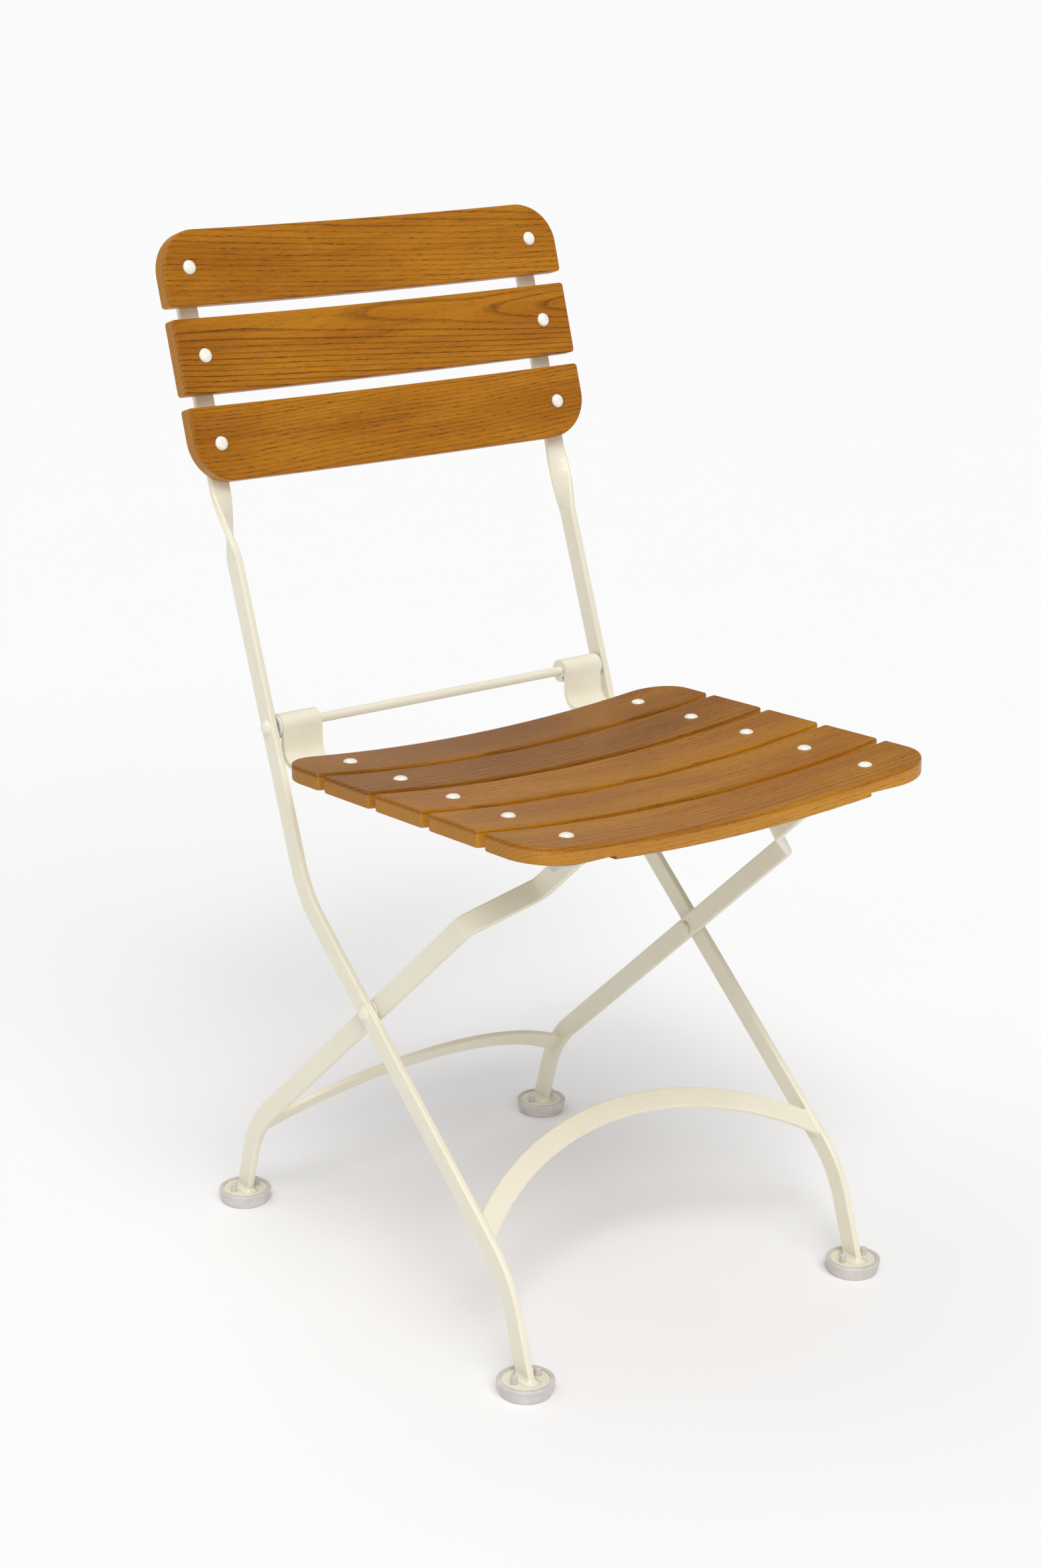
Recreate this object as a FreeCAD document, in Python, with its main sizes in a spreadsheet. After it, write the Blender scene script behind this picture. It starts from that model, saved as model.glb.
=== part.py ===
import FreeCAD, Part

import math
import os

import Sketcher

# Folding garden chair: flat steel side bars crossed with short rear legs, and dished wooden slats.
# Millimetres and degrees. +X is the sitter's left, +Y points backwards, +Z is up and z = 0 is the floor.

SIZES = [
    # wooden slats
    ("seat_slats", 5), ("back_slats", 3),
    ("seat_slat_length", 405), ("back_slat_shorter", 5),
    ("slat_width", 62), ("slat_thick", 14), ("dish_depth", 8.5239), ("slat_edge", 2),
    ("slat_end_corner", 3), ("slat_big_corner", 36), ("landing_margin", 1),
    ("seat_slat_gap", 8.5), ("back_slat_gap", 10.2),
    # flat bars and rod; the bar's inset is from the end of a backrest slat to the bar's middle
    ("bar_width", 18), ("bar_thick", 6), ("bar_edge", 1.8), ("edge_steps", 4), ("bar_inset", 26.5),
    ("rod_radius", 4), ("bend_radius", 100),
    # places of the two pivots, in the side view
    ("pivot_y", -9.2), ("pivot_z", 246.1), ("hinge_y", 128.8), ("hinge_z", 453.1),
    # side bar: slope from floor bend to knee, lean of the foot, lean of the backrest
    ("side_slope", 40.2), ("side_foot_lean", 18.5), ("side_foot_bend_z", 86.3),
    ("back_bend_rise", 183.8), ("back_bend_run", 68.1), ("back_lean", 17.5), ("twist_length", 55),
    ("back_slat_start", 8), ("bar_top_above_rivet", 14),
    # rear leg: how far in front of the hinge it meets the seat, foot lean, and the inward jog
    ("slider_reach", 337.737), ("rear_foot_lean", 16), ("rear_foot_bend_z", 79.2),
    ("jog_start", 163), ("jog_length", 47), ("jog_inward", 46), ("jog_radius", 14),
    # seat hinge and straps
    ("seat_tilt", 2.7), ("strap_width", 38), ("strap_thick", 4),
    ("strap_drop", 29.1), ("strap_bend", 12), ("strap_past_rivet", 10.7), ("bush_wall", 2), ("eye_wrap", 290),
    ("seat_slat_start", 51.3), ("seat_rivet_offset", 2.5),
    ("bush_slit", 1.2), ("pivot_washer", 1.7), ("hinge_washer", 2), ("hinge_collar", 1.7),
    ("washer_lip", 5.5), ("collar_lip", 2.5),
    # arches between the legs
    ("arch_radius", 263), ("arch_width", 18), ("arch_thick", 5), ("arch_edge", 1.2),
    ("front_arch_from_pivot", 205.3), ("front_arch_offset", 4), ("rear_arch_tilt", 50),
    # rivets
    ("slat_rivet_head", 6), ("slat_rivet_dome", 3.2), ("slat_rivet_shank", 3), ("spot_face", 0.8),
    ("rivet_tail", 4.5), ("rivet_tail_thick", 2),
    ("pivot_head_lip", 3), ("pivot_dome", 4.2), ("pivot_tail_lip", 1.5), ("pivot_tail_thick", 2.8),
    # crossbar and slide caps at the top of the rear legs
    ("cap_radius", 9.5), ("cap_length", 20), ("cap_wall", 2), ("stop_radius", 3.5), ("stop_length", 8),
    # feet
    ("glide_wall", 4.2), ("glide_taper", 2.8), ("glide_rim", 1), ("glide_floor", 7.5), ("glide_round", 1.2),
    ("plate_radius", 19), ("plate_thick", 3.5), ("peg_radius", 2.8), ("peg_offset", 11.5), ("peg_stand", 7),
    ("peg_round", 1),
    # clearances
    ("running_gap", 0.05), ("fit_gap", 0.1), ("side_gap", 0.3),
]

# sizes that follow from the ones above, so that pieces which meet stay together
FOLLOWING = [
    ("back_slat_length", "=seat_slat_length - back_slat_shorter"),
    ("seat_pitch", "=slat_width + seat_slat_gap"),
    ("back_pitch", "=slat_width + back_slat_gap"),
    ("first_seat_rivet", "=seat_slat_start + slat_width / 2"),
    ("back_first_slat", "=back_slat_start + slat_width / 2"),
    ("strap_reach", "=first_seat_rivet + (seat_slats - 1) * seat_pitch + strap_past_rivet"),
    ("side_bar_x", "=back_slat_length / 2 - bar_inset"),
    ("rear_leg_x", "=side_bar_x - bar_thick - pivot_washer - side_gap"),
    ("strap_x", "=side_bar_x - bar_thick / 2 - hinge_collar - hinge_washer - side_gap - strap_width / 2"),
    ("seat_rivet_x", "=strap_x + seat_rivet_offset"),
    ("dish_half_span", "=strap_x + strap_width / 2 + landing_margin"),
    ("dish_radius", "=(dish_half_span ^ 2 + dish_depth ^ 2) / (2 * dish_depth)"),
    ("eye_inner", "=rod_radius + bush_wall"),
    ("washer_radius", "=rod_radius + washer_lip"),
    ("collar_radius", "=rod_radius + collar_lip"),
    ("pivot_head", "=rod_radius + pivot_head_lip"),
    ("pivot_tail", "=rod_radius + pivot_tail_lip"),
    ("glide_radius", "=plate_radius + fit_gap + glide_wall"),
    ("glide_base_radius", "=glide_radius - glide_taper"),
    ("glide_high", "=glide_floor + plate_thick + glide_rim"),
    ("peg_top", "=glide_floor + plate_thick + peg_stand"),
]

doc = FreeCAD.newDocument("FoldingChair")
sheet = doc.addObject("Spreadsheet::Sheet", "Sizes")
for row, (name, number) in enumerate(SIZES + FOLLOWING, 1):
    sheet.set(f"A{row}", name)
    sheet.set(f"B{row}", str(number))
    sheet.setAlias(f"B{row}", name)
doc.recompute()

Vec = FreeCAD.Vector
X_AXIS = Vec(1, 0, 0)
PARTS = []


def size(name):
    """A driving dimension, read from the sheet."""
    return float(sheet.get(name))


def turned(degrees):
    """A turn about the chair's cross axis."""
    return FreeCAD.Rotation(X_AXIS, degrees)


def side_view(y, z):
    return Vec(0, y, z)


def direction(degrees):
    """Unit vector in the side view, measured from +Y towards +Z."""
    return Vec(0, math.cos(math.radians(degrees)), math.sin(math.radians(degrees)))


def line_crossing(point_a, way_a, point_b, way_b):
    """Where two side-view lines meet."""
    across = way_a.y * way_b.z - way_a.z * way_b.y
    gap = point_b - point_a
    return point_a + way_a * ((gap.y * way_b.z - gap.z * way_b.y) / across)


def finish(obj, label, placement=None):
    """Name a finished sub-part, place it and list it for export."""
    obj.Label = label
    if placement is not None:
        obj.Placement = placement
    PARTS.append(obj)
    return obj


def shape_part(label, shape, placement=None):
    """A sub-part whose shape comes from Part's own functions."""
    feature = doc.addObject("Part::Feature", label)
    feature.Shape = shape
    return finish(feature, label, placement)


# ---------------------------------------------------------------- PartDesign helpers

def new_sketch(body, plane_role, height=None):
    """A sketch on one of the body's own origin planes, raised by an expression."""
    sketch = body.newObject("Sketcher::SketchObject", f"{body.Name}_Sketch")
    plane = next(f for f in body.Origin.OriginFeatures if f.Role == plane_role)
    sketch.AttachmentSupport = [(plane, "")]
    sketch.MapMode = "FlatFace"
    if height is not None:
        sketch.setExpression("AttachmentOffset.Base.z", height)
    return sketch


def draw_loop(sketch, corners):
    """Straight edges round a list of sketch points."""
    points = [Vec(u, v, 0) for u, v in corners]
    for start, end in zip(points, points[1:] + points[:1]):
        sketch.addGeometry(Part.LineSegment(start, end))


def draw_circle(sketch, u, v, radius_expression):
    """A circle whose radius is bound to the sheet."""
    index = sketch.addGeometry(Part.Circle(Vec(u, v, 0), Vec(0, 0, 1), 1))
    number = sketch.addConstraint(Sketcher.Constraint("Radius", index, 1))
    sketch.setExpression(f"Constraints[{number}]", radius_expression)
    return index


def arc_between(centre, radius, start_degrees, end_degrees):
    circle = Part.Circle(Vec(*centre, 0), Vec(0, 0, 1), radius)
    return Part.ArcOfCircle(circle, math.radians(start_degrees), math.radians(end_degrees))


def pad(body, sketch, length):
    """A pad the same distance each side of its sketch."""
    feature = body.newObject("PartDesign::Pad", f"{body.Name}_Pad")
    feature.Profile = sketch
    feature.SideType = "Symmetric"
    feature.setExpression("Length", length)
    doc.recompute()
    return feature


def pocket(body, sketch, length=None, reversed_way=False):
    """A pocket: right through both ways, or one way to an expression's depth. It must remove material."""
    before = body.Shape.Volume
    feature = body.newObject("PartDesign::Pocket", f"{body.Name}_Pocket")
    feature.Profile = sketch
    if length is None:
        feature.Type = "ThroughAll"
        feature.SideType = "Symmetric"
    else:
        feature.Reversed = reversed_way
        feature.setExpression("Length", length)
    doc.recompute()
    if body.Shape.Volume > before - 1e-3:
        raise RuntimeError(f"{feature.Name} removes nothing")
    return feature


def fillet(body, base, radius, wanted):
    """Round the edges of base that the test picks."""
    names = [f"Edge{i}" for i, edge in enumerate(base.Shape.Edges, 1) if wanted(edge)]
    feature = body.newObject("PartDesign::Fillet", f"{body.Name}_Fillet")
    feature.Base = (base, names)
    feature.setExpression("Radius", radius)
    doc.recompute()
    return feature


def revolved(body, outline):
    """A solid of revolution about the body's X axis, from a closed half outline (along, radius)."""
    sketch = new_sketch(body, "XZ_Plane")
    for edge in outline:
        sketch.addGeometry(edge)
    feature = body.newObject("PartDesign::Revolution", f"{body.Name}_Revolution")
    feature.Profile = sketch
    feature.ReferenceAxis = (sketch, ["H_Axis"])
    feature.Angle = 360
    doc.recompute()
    return feature


# ---------------------------------------------------------------- Part helpers

def eased_rectangle(half_wide, half_thick, radius):
    """Corner points of a bar's section, each edge eased in a few small steps."""
    steps = int(size("edge_steps"))
    corners = []
    for quarter, (su, sv) in enumerate(((1, 1), (-1, 1), (-1, -1), (1, -1))):
        for step in range(steps + 1):
            angle = math.radians(90 * (quarter + step / steps))
            corners.append((su * (half_wide - radius) + radius * math.cos(angle),
                            sv * (half_thick - radius) + radius * math.sin(angle)))
    return corners


def bar_section(centre, wide, thin):
    """Section of the flat bar about a centre; wide and thin are its unit directions."""
    corners = eased_rectangle(size("bar_width") / 2, size("bar_thick") / 2, size("bar_edge"))
    points = [centre + wide * u + thin * v for u, v in corners]
    return Part.makePolygon(points + points[:1])


def bent_path(points, radii):
    """A wire through points with a tangent arc at each inner point."""
    edges = []
    start = points[0]
    for before, corner, after, radius in zip(points, points[1:], points[2:], radii):
        way_in = (corner - before).normalize()
        way_out = (after - corner).normalize()
        half_turn = way_in.getAngle(way_out) / 2
        reach = radius * math.tan(half_turn)
        enter = corner - way_in * reach
        leave = corner + way_out * reach
        inward = (way_out - way_in).normalize()
        middle = corner + inward * (radius / math.cos(half_turn) - radius)
        edges.append(Part.LineSegment(start, enter).toShape())
        edges.append(Part.Arc(enter, middle, leave).toShape())
        start = leave
    edges.append(Part.LineSegment(start, points[-1]).toShape())
    return Part.Wire(edges)


def swept_bar(points, radii, wide, thin):
    """The flat bar swept along a bent path that lies in one plane."""
    path = bent_path(points, radii)
    return path.makePipeShell([bar_section(points[0], wide, thin)], True, True)


def cross_hole(y, z, x_from, x_to, radius):
    return Part.makeCylinder(radius, abs(x_to - x_from), Vec(min(x_from, x_to), y, z), X_AXIS)


def ring(label, outer, inner, length, x_start, y, z):
    """A washer or collar on a cross axis, from two primitives bound to the sheet."""
    solids = []
    for part_name, radius in (("outer", outer), ("hole", inner)):
        cylinder = doc.addObject("Part::Cylinder", f"{label}_{part_name}")
        cylinder.setExpression("Radius", radius)
        cylinder.setExpression("Height", length)
        solids.append(cylinder)
    cut = doc.addObject("Part::Cut", label)
    cut.Base, cut.Tool = solids
    turn = FreeCAD.Rotation(Vec(0, 0, 1), X_AXIS)
    return finish(cut, label, FreeCAD.Placement(Vec(x_start, y, z), turn))


def domed_rivet(head_radius, dome, shank_radius, length, tail_radius, tail_thick):
    """Rivet along +X: its dome stands below x = 0, its shank runs to the tail at x = length."""
    sphere = (head_radius ** 2 + dome ** 2) / (2 * dome)
    ball = Part.makeSphere(sphere, Vec(sphere - dome, 0, 0))
    slab = Part.makeCylinder(head_radius, dome, Vec(-dome, 0, 0), X_AXIS)
    head = ball.common(slab)
    shank = Part.makeCylinder(shank_radius, length + tail_thick / 2, Vec(0, 0, 0), X_AXIS)
    tail = Part.makeCylinder(tail_radius, tail_thick, Vec(length, 0, 0), X_AXIS)
    rim = [edge for edge in tail.Edges if abs(edge.BoundBox.XMin - length - tail_thick) < 1e-6]
    tail = tail.makeFillet(tail_thick * 0.4, [edge for edge in rim if edge.BoundBox.XLength < 1e-6])
    return head.fuse([shank, tail]).removeSplitter()


# ---------------------------------------------------------------- derived places

SIDES = (("left", 1), ("right", -1))
pivot = side_view(size("pivot_y"), size("pivot_z"))
hinge = side_view(size("hinge_y"), size("hinge_z"))
foot_top = size("glide_floor") + size("plate_thick")
half_bar = size("bar_thick") / 2

# side bar: pivot line, hinge line and backrest line
side_way = direction(size("side_slope"))
back_bend = hinge + side_view(size("back_bend_run"), size("back_bend_rise"))
back_way = direction(90 - size("back_lean"))
hinge_way = (back_bend - hinge).normalize()
knee = line_crossing(pivot, side_way, hinge, hinge_way)
side_foot_bend = line_crossing(pivot, side_way, side_view(0, size("side_foot_bend_z")), Vec(0, 1, 0))
side_foot_way = direction(90 - size("side_foot_lean"))
side_foot = line_crossing(side_foot_bend, side_foot_way, side_view(0, foot_top), Vec(0, 1, 0))
first_back_rivet = back_bend + back_way * size("back_first_slat")
back_rivets = [first_back_rivet + back_way * size("back_pitch") * n for n in range(int(size("back_slats")))]
back_top = back_rivets[-1] + back_way * size("bar_top_above_rivet")

# seat: its own frame has its origin on the hinge rod, -Y to the front and +Z out of the seat
seat_frame = FreeCAD.Placement(hinge, turned(-size("seat_tilt")))
strap_top = -size("strap_drop")
strap_under = strap_top - size("strap_thick")
slider_level = strap_under - size("cap_radius") - size("side_gap")
slider = seat_frame.multVec(Vec(0, -size("slider_reach"), slider_level))

# rear leg: lines through the pivot, rising forwards to the slider under the straps
rear_way = (slider - pivot).normalize()
rear_slope = math.degrees(math.atan2(rear_way.z, -rear_way.y))
rear_normal = direction(90 - rear_slope)
rear_foot_bend = line_crossing(pivot, rear_way, side_view(0, size("rear_foot_bend_z")), Vec(0, 1, 0))
rear_foot_way = direction(90 + size("rear_foot_lean"))
rear_foot = line_crossing(rear_foot_bend, rear_foot_way, side_view(0, foot_top), Vec(0, 1, 0))
seat_rivets = [-size("first_seat_rivet") - size("seat_pitch") * n for n in range(int(size("seat_slats")))]


# ---------------------------------------------------------------- wooden slats

def dish_rise(x):
    """How far the dished slat has risen at a distance from its middle."""
    return size("dish_radius") - math.sqrt(size("dish_radius") ** 2 - x * x)


def slat(label, length_name, landing_x, landing_width, rivet_x, big_corners, placement):
    """A dished slat with its landings at z = 0, its rivet holes and its rounded corners."""
    body = doc.addObject("PartDesign::Body", label)
    half = size(length_name) / 2
    land_outer = landing_x + landing_width / 2
    under = -dish_rise(land_outer)
    centre_z = under + size("slat_thick") + size("dish_radius")
    sketch = new_sketch(body, "XZ_Plane")
    ends = []
    for radius in (size("dish_radius"), size("dish_radius") + size("slat_thick")):
        angle = math.degrees(math.asin(half / radius))
        sketch.addGeometry(arc_between((0, centre_z), radius, 270 - angle, 270 + angle))
        ends.append(centre_z - radius * math.cos(math.radians(angle)))
    for x in (-half, half):
        sketch.addGeometry(Part.LineSegment(Vec(x, ends[0], 0), Vec(x, ends[1], 0)))
    blank = pad(body, sketch, "Sizes.slat_width")

    def end_edge(edge, front):
        box = edge.BoundBox
        at_end = abs(abs(box.Center.x) - half) < 1e-3
        upright = box.ZLength > size("slat_thick") / 2 and box.YLength < 1e-3
        return at_end and upright and (box.Center.y < 0) == front

    front_radius = "Sizes.slat_big_corner" if "front" in big_corners else "Sizes.slat_end_corner"
    rear_radius = "Sizes.slat_big_corner" if "rear" in big_corners else "Sizes.slat_end_corner"
    base = fillet(body, blank, front_radius, lambda edge: end_edge(edge, True))
    base = fillet(body, base, rear_radius, lambda edge: end_edge(edge, False))

    def around_faces(edge):
        big = [f for f in base.Shape.Faces if f.Surface.TypeId == "Part::GeomCylinder"
               and abs(f.Surface.Axis.y) > 0.9 and f.Surface.Radius > size("dish_radius") - 1]
        return any(edge.isSame(other) for face in big for other in face.Edges)

    fillet(body, base, "Sizes.slat_edge", around_faces)

    landings = new_sketch(body, "XZ_Plane")
    for side in (1, -1):
        inner = side * (landing_x - landing_width / 2)
        outer = side * land_outer
        draw_loop(landings, [(inner, under * 2), (outer, under * 2), (outer, 0), (inner, 0)])
    pocket(body, landings)

    holes = new_sketch(body, "XY_Plane")
    seats = new_sketch(body, "XY_Plane")
    seats.AttachmentOffset = FreeCAD.Placement(Vec(0, 0, head_level(land_outer, rivet_x)), FreeCAD.Rotation())
    for side in (1, -1):
        draw_circle(holes, side * rivet_x, 0, "Sizes.slat_rivet_shank + Sizes.fit_gap")
        draw_circle(seats, side * rivet_x, 0, "Sizes.slat_rivet_head + Sizes.fit_gap * 2")
    pocket(body, holes)
    pocket(body, seats, "Sizes.slat_thick", reversed_way=True)
    return finish(body, label, placement)


def head_level(land_outer, rivet_x):
    """Height of the rivet head's seat above the landing."""
    return size("slat_thick") - dish_rise(land_outer) + dish_rise(rivet_x) - size("spot_face")


strap_landing = size("strap_width") + 2 * size("landing_margin")
seat_land_outer = size("dish_half_span")
for number, rivet_y in enumerate(seat_rivets, 1):
    corners = {1: ("rear",), int(size("seat_slats")): ("front",)}.get(number, ())
    place = seat_frame.multiply(FreeCAD.Placement(Vec(0, rivet_y, strap_top), FreeCAD.Rotation()))
    slat(f"seat_slat_{number}", "seat_slat_length", size("strap_x"), strap_landing,
         size("seat_rivet_x"), corners, place)

# backrest slats: local +Z points to the sitter and local +Y points up
back_turn = turned(90 - size("back_lean"))
back_forward = back_turn.multVec(Vec(0, 0, 1))
bar_landing = size("bar_width") + 2 * size("landing_margin")
back_land_outer = size("side_bar_x") + bar_landing / 2
for number, (name, rivet) in enumerate(zip(("bottom", "middle", "top"), back_rivets)):
    corners = {"top": ("rear",), "bottom": ("front",)}.get(name, ())
    place = FreeCAD.Placement(rivet + back_forward * half_bar, back_turn)
    slat(f"backrest_slat_{name}", "back_slat_length", size("side_bar_x"), bar_landing,
         size("side_bar_x"), corners, place)


def rivet_group(label, places, head_level_mm, grip, out_of_slat):
    """Identical slat rivets, each its own solid. out_of_slat points from the slat to the rivet's head."""
    solids = []
    for foot in places:
        rivet = domed_rivet(size("slat_rivet_head"), size("slat_rivet_dome"), size("slat_rivet_shank"),
                            head_level_mm + grip, size("rivet_tail"), size("rivet_tail_thick"))
        rivet.Placement = FreeCAD.Placement(foot + out_of_slat * head_level_mm,
                                            FreeCAD.Rotation(X_AXIS, out_of_slat * -1))
        solids.append(rivet)
    return shape_part(label, Part.makeCompound(solids))


seat_up = seat_frame.Rotation.multVec(Vec(0, 0, 1))
rivet_group("seat_rivets",
            [seat_frame.multVec(Vec(side * size("seat_rivet_x"), y, strap_top))
             for y in seat_rivets for _, side in SIDES],
            head_level(seat_land_outer, size("seat_rivet_x")), size("strap_thick"), seat_up)
rivet_group("backrest_rivets",
            [rivet + back_forward * half_bar + X_AXIS * side * size("side_bar_x")
             for rivet in back_rivets for _, side in SIDES],
            head_level(back_land_outer, size("side_bar_x")), size("bar_thick"), back_forward)


# ---------------------------------------------------------------- side bars and rear legs

def side_bar(label, side):
    """Long bar: foot, crossing, knee, hinge, quarter twist and backrest, in one piece."""
    across = X_AXIS * side
    shift = X_AXIS * side * size("side_bar_x")
    twist_end = back_bend - hinge_way * size("twist_length")
    foot_end = side_foot - side_foot_way * size("bar_width")
    radii = (size("bend_radius"), size("bend_radius"))
    lower_wide = direction(math.degrees(math.atan2(hinge_way.z, hinge_way.y)) + 90)
    foot_wide = direction(180 - size("side_foot_lean"))
    lower = swept_bar([p + shift for p in (foot_end, side_foot_bend, knee, twist_end)], radii,
                      foot_wide, across)
    steps = 10
    sections = []
    for step in range(steps + 1):
        share = step / steps
        angle = math.radians(90 * share)
        wide = lower_wide * math.cos(angle) + across * math.sin(angle)
        thin = across * math.cos(angle) - lower_wide * math.sin(angle)
        centre = twist_end + hinge_way * size("twist_length") * share
        sections.append(bar_section(centre + shift, wide, thin))
    twist = Part.makeLoft(sections, True, True)
    back_normal = direction(180 - size("back_lean"))
    half_width = size("bar_width") / 2
    top_centre = back_top - back_way * half_width + shift
    upper = swept_bar([back_bend + shift, top_centre], (), across, back_normal)
    end_round = Part.makeCylinder(half_width, size("bar_thick"), top_centre - back_normal * half_bar,
                                  back_normal)
    bar = lower.fuse([twist, upper, end_round]).removeSplitter()
    reach = size("bar_width") * 4
    below = Part.makeBox(reach, reach, reach, Vec(-reach / 2, side_foot.y - reach / 2, foot_top - reach))
    below.translate(shift)
    bar = bar.cut(below)
    x_range = (shift.x - size("bar_width"), shift.x + size("bar_width"))
    hole = size("rod_radius") + size("fit_gap")
    for centre in (pivot, hinge):
        bar = bar.cut(cross_hole(centre.y, centre.z, *x_range, hole))
    for rivet in back_rivets:
        drill = Part.makeCylinder(size("slat_rivet_shank") + size("fit_gap"), size("bar_width"),
                                  rivet + shift - back_forward * size("bar_width") / 2, back_forward)
        bar = bar.cut(drill)
    return shape_part(label, bar)


def rear_leg(label, side):
    """Short bar: foot, crossing, inward jog and rounded upper end on the crossbar."""
    across = X_AXIS * side
    shift = across * size("rear_leg_x")
    foot_end = rear_foot - rear_foot_way * size("bar_width")
    joint = pivot + rear_way * (size("jog_start") / 2)
    foot_wide = direction(size("rear_foot_lean"))
    lower = swept_bar([p + shift for p in (foot_end, rear_foot_bend, joint)], (size("bend_radius"),),
                      foot_wide, across)
    jog_start = pivot + rear_way * size("jog_start") + shift
    jog_end = jog_start + rear_way * size("jog_length") - across * size("jog_inward")
    top = slider - across * size("jog_inward") + shift
    upper = swept_bar([joint + shift, jog_start, jog_end, top], (size("jog_radius"),) * 2,
                      rear_normal, across)
    end_round = cross_hole(slider.y, slider.z, top.x - half_bar, top.x + half_bar, size("bar_width") / 2)
    leg = lower.fuse([upper, end_round]).removeSplitter()
    reach = size("bar_width") * 4
    below = Part.makeBox(reach, reach, reach, Vec(-reach / 2, rear_foot.y - reach / 2, foot_top - reach))
    below.translate(shift)
    leg = leg.cut(below)
    leg = leg.cut(cross_hole(pivot.y, pivot.z, shift.x - half_bar * 2, shift.x + half_bar * 2,
                             size("rod_radius") + size("running_gap")))
    leg = leg.cut(cross_hole(slider.y, slider.z, top.x - half_bar * 2, top.x + half_bar * 2,
                             size("rod_radius")))
    return shape_part(label, leg)


for name, side in SIDES:
    side_bar(f"side_bar_{name}", side)
    rear_leg(f"rear_leg_{name}", side)


def arch(label, half_span, placement):
    """Bent flat bar that ties two legs together; its ends lie at y = 0 of its own frame."""
    body = doc.addObject("PartDesign::Body", label)
    section = new_sketch(body, "YZ_Plane")
    radius = size("arch_radius")
    drop = math.sqrt(radius ** 2 - half_span ** 2)
    corners = eased_rectangle(size("arch_width") / 2, size("arch_thick") / 2, size("arch_edge"))
    draw_loop(section, [(radius - drop + u, v) for u, v in corners])
    section.addGeometry(Part.LineSegment(Vec(-drop, -radius, 0), Vec(-drop, radius, 0)), True)
    bend = body.newObject("PartDesign::Revolution", f"{body.Name}_Bend")
    bend.Profile = section
    bend.ReferenceAxis = (section, ["Axis0"])
    bend.Midplane = True
    bend.Angle = 2 * math.degrees(math.asin(half_span / (radius - size("arch_width")))) + 4
    doc.recompute()
    ends = new_sketch(body, "XY_Plane")
    for side in (1, -1):
        draw_loop(ends, [(side * half_span, -radius), (side * radius, -radius), (side * radius, radius),
                         (side * half_span, radius)])
    pocket(body, ends)
    return finish(body, label, placement)


# the front arch lies just under the upper edge of the side bars, the rear one in the bend of the rear legs
side_inner = size("side_bar_x") - half_bar
front_middle = pivot - side_way * size("front_arch_from_pivot")
front_place = front_middle + direction(size("side_slope") + 90) * size("front_arch_offset")
arch("front_arch", side_inner, FreeCAD.Placement(front_place, turned(size("side_slope"))))
half_turn = math.radians(90 - rear_slope - size("rear_foot_lean")) / 2
bend_depth = size("bend_radius") * (1 / math.cos(half_turn) - 1)
bend_inward = (rear_way + rear_foot_way * -1).normalize()
rear_place = rear_foot_bend + bend_inward * bend_depth
arch("rear_arch", size("rear_leg_x") - half_bar,
     FreeCAD.Placement(rear_place, turned(180 - size("rear_arch_tilt"))))


# ---------------------------------------------------------------- hinge, pivots and crossbar

def pin_outline(half_length, head, dome, shank):
    """Half outline of a cross rod with a domed head at both ends."""
    sphere = (head ** 2 + dome ** 2) / (2 * dome)
    spread = math.degrees(math.asin(head / sphere))
    right = arc_between((half_length + dome - sphere, 0), sphere, 0, spread)
    left = arc_between((-half_length - dome + sphere, 0), sphere, 180 - spread, 180)
    points = [(half_length, head), (half_length, shank), (-half_length, shank), (-half_length, head)]
    lines = [Part.LineSegment(Vec(*a, 0), Vec(*b, 0)) for a, b in zip(points, points[1:])]
    tip = half_length + dome
    return [right, *lines, left, Part.LineSegment(Vec(-tip, 0, 0), Vec(tip, 0, 0))]


rod = doc.addObject("PartDesign::Body", "hinge_rod")
revolved(rod, pin_outline(size("side_bar_x") + half_bar, size("pivot_head"), size("pivot_dome"),
                          size("rod_radius")))
finish(rod, "hinge_rod", FreeCAD.Placement(hinge, FreeCAD.Rotation()))

leg_inner = size("rear_leg_x") - half_bar
for name, side in SIDES:
    grip = size("side_bar_x") + half_bar - leg_inner + size("side_gap")
    rivet = domed_rivet(size("pivot_head"), size("pivot_dome"), size("rod_radius"), grip,
                        size("pivot_tail"), size("pivot_tail_thick"))
    outer = X_AXIS * side * (size("side_bar_x") + half_bar)
    shape_part(f"pivot_rivet_{name}", rivet,
               FreeCAD.Placement(pivot + outer, FreeCAD.Rotation(X_AXIS, X_AXIS * -side)))

leg_outer = size("rear_leg_x") + half_bar
strap_outer = size("strap_x") + size("strap_width") / 2


def cross_start(side, near, length):
    """Lower x of a ring that starts at a distance from the middle plane, on one side."""
    return near if side > 0 else -near - length


for name, side in SIDES:
    ring(f"pivot_washer_{name}", "Sizes.washer_radius", "Sizes.rod_radius + Sizes.fit_gap",
         "Sizes.pivot_washer", cross_start(side, leg_outer + size("side_gap"), size("pivot_washer")),
         pivot.y, pivot.z)
    ring(f"hinge_washer_{name}", "Sizes.washer_radius", "Sizes.rod_radius + Sizes.fit_gap",
         "Sizes.hinge_washer", cross_start(side, strap_outer + size("side_gap"), size("hinge_washer")),
         hinge.y, hinge.z)
    ring(f"hinge_collar_{name}", "Sizes.collar_radius", "Sizes.rod_radius + Sizes.fit_gap",
         "Sizes.hinge_collar", cross_start(side, side_inner - size("hinge_collar"), size("hinge_collar")),
         hinge.y, hinge.z)

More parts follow.
